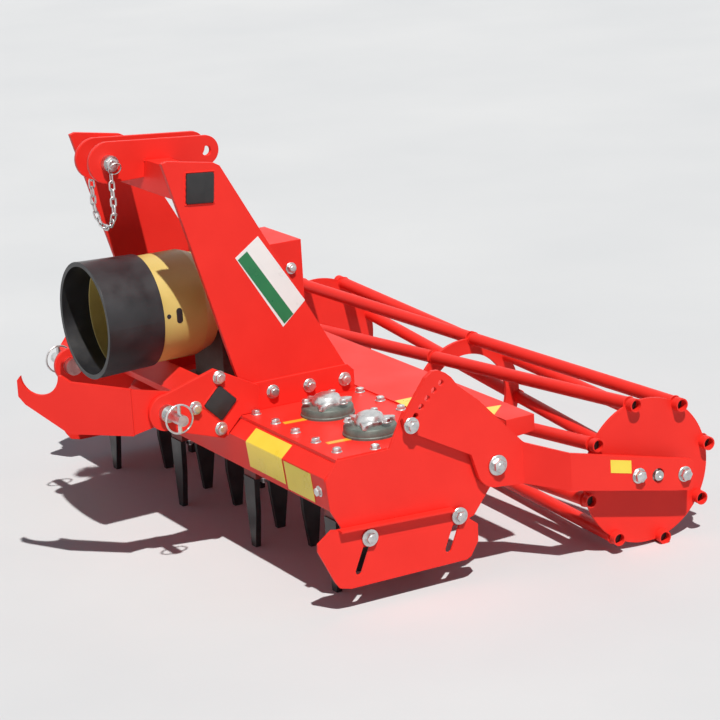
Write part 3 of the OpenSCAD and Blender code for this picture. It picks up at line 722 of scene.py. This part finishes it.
def on_collar(angle, ahead, w, h, radius):
    """A stadium-shaped patch of painted shade for an opening, bent round the collar: w along the axis, h
    round it.
    """
    part = bmesh.new()
    straight, steps, least, rows = (h - w) / 2, 6, 0.4, []
    curve = [straight + w / 2 * math.sin(math.pi / 2 * i / steps) for i in range(steps + 1)]
    middle = [straight * (i / 4 - 1) for i in range(1, 8)]
    heights = [-v for v in reversed(curve)] + middle + curve
    for v in heights:
        past = max(abs(v) - straight, 0)
        half = max(math.sqrt(max((w / 2) ** 2 - past ** 2, 0)), least)
        a = math.radians(angle) + v / radius
        rows.append([part.verts.new((radius * MM * math.cos(a), radius * MM * math.sin(a), z * MM))
                     for z in (ahead - half, ahead + half)])
    for low, high in zip(rows, rows[1:]):
        part.faces.new((low[0], low[1], high[1], high[0]))
    return part


# Each opening is drawn as a thin black patch laid on the collar; its black is painted shade for the unlit
# inside.
holes = bmesh.new()
for angle, ahead, w, h in ((2, 108, 13, 31), (3, 131, 9, 9.2)):
    part = on_collar(angle, ahead, w, h, COLLAR_R)
    bmesh.ops.remove_doubles(part, verts=part.verts, dist=0.05 * MM)
    bmesh.ops.recalc_face_normals(part, faces=part.faces)
    bmesh.ops.solidify(part, geom=part.faces, thickness=0.4 * MM)
    join(holes, part, forward)
done("collar_opening_shade", holes, "frame", "black_rubber")

# %% [markdown]
# ## Gearbox hood
# The hood is folded sheet, held by two bolts on each side.

# %% Gearbox hood
HOOD_X, HOOD_BOLT_Z = 78, 530
hood = bmesh.new()
for side in (-1, 1):
    for y in (72, -40):
        bolt(hood, at(side * HOOD_X, y, HOOD_BOLT_Z), (side, 0, 0), 15, 7, washer=12, thick=2)
done("hood_bolts", hood, "frame", "zinc")

# %% [markdown]
# ## Rotor nuts
# Each tine hangs under its rotor arm from two nuts. They are seen only from below, and they ride with
# the rotor that carries them.

# %% Rotor nuts
NUT_REACH, NUT_SIDE, ROTOR_ARM_Z = 74, 16, 146
for k in range(1, ROTOR_COUNT + 1):
    nuts = bmesh.new()
    axis_x = (k - (ROTOR_COUNT + 1) // 2) * ROTOR_PITCH
    for reach in (-NUT_REACH, NUT_REACH):
        for across in (-NUT_SIDE, NUT_SIDE):
            x, y = (across, reach) if k % 2 else (reach, across)
            bolt(nuts, at(axis_x + x, y, ROTOR_ARM_Z), (0, 0, -1), 15, 8, washer=10, thick=2, stud=3)
    done("rotor_nuts_%d" % k, nuts, "rotor_body_%d" % k, "zinc")

# %% [markdown]
# ## Stickers
# The real stickers carry words and signs. Here they stay blank: thin plates in the sticker's colour.
# One large sticker on the front is bent over the fold of the trough, so it is drawn as a strip whose
# section follows the two faces.

# %% Stickers
def flat_sticker(name, points, finish, slot, body="frame", lift=0.5):
    """A thin blank plate through frame points of one flat face."""
    part = bmesh.new()
    face = part.faces.new([part.verts.new(p) for p in points])
    face.normal_update()
    if face.normal.dot(back) < 0:
        face.normal_flip()
    out = face.normal * lift * MM
    pulled = bmesh.ops.extrude_face_region(part, geom=[face])
    bmesh.ops.translate(part, vec=out,
                        verts=[v for v in pulled["geom"] if isinstance(v, bmesh.types.BMVert)])
    bmesh.ops.recalc_face_normals(part, faces=part.faces)
    return done(name, part, body, slot, finish)


def upright_sticker(name, x, corners, finish, slot, **more):
    """A flat sticker on an upright face at x, through (y, z) pairs."""
    return flat_sticker(name, [at(x, y, z) for y, z in corners], finish, slot, **more)


def top_sticker(name, z, corners, finish):
    """A flat sticker on a level face at the height z, through (x, y) pairs."""
    return flat_sticker(name, [at(x, y, z) for x, y in corners], finish, "yellow_plastic")


GUARD_TOP = COVER_TOP + 3
upright_sticker("leg_plate", LEG_X, [(-120, 607), (-68, 642), (26, 498), (-26, 453)], STICKER_WHITE, "zinc")
upright_sticker("leg_stripe", LEG_X, [(-115, 602), (-94, 616), (-2, 475), (-23, 459)], STICKER_GREEN, "zinc",
                lift=0.9)
for name, x in (("rim_sticker_1", 330), ("rim_sticker_2", 500)):
    top_sticker(name, COVER_TOP, [(x - 7, -97), (x + 7, -99), (x + 11, -50), (x - 3, -48)], STICKER_ORANGE)
top_sticker("guard_sticker_1", GUARD_TOP, [(350, 140), (351, 183), (401, 137)], STICKER_YELLOW)
top_sticker("guard_sticker_2", GUARD_TOP, [(505, 240), (512, 284), (558, 238)], STICKER_YELLOW)
upright_sticker("arm_sticker", ARM_REAR_X, [(408, 207), (456, 196), (456, 170), (408, 181)], STICKER_YELLOW,
                "yellow_plastic", body="roller_arms")


def bent_sticker(name, x0, x1, section, finish):
    """A strip across the fold of the trough: a section of (y, z) pairs pulled along x."""
    part = bmesh.new()
    row = [part.verts.new(at(x0, y, z)) for y, z in section]
    edges = [part.edges.new(pair) for pair in zip(row, row[1:])]
    pulled = bmesh.ops.extrude_edge_only(part, edges=edges)
    bmesh.ops.translate(part, vec=((x1 - x0) * MM, 0, 0),
                        verts=[v for v in pulled["geom"] if isinstance(v, bmesh.types.BMVert)])
    bmesh.ops.recalc_face_normals(part, faces=part.faces)
    bmesh.ops.solidify(part, geom=part.faces, thickness=0.4 * MM)
    return done(name, part, "frame", "yellow_plastic", finish)


WRAP = [(-140, 286.8), (-164.2, 265.4), (-164.8, 263.0), (-158.6, 213)]
bent_sticker("front_sticker_1", 295, 440, WRAP, STICKER_YELLOW)
bent_sticker("front_sticker_2", 448, 552, [(-164.8, 263.0), (-157.8, 206)], STICKER_YELLOW)
bent_sticker("front_sticker_3", -470, -262, WRAP, STICKER_YELLOW)
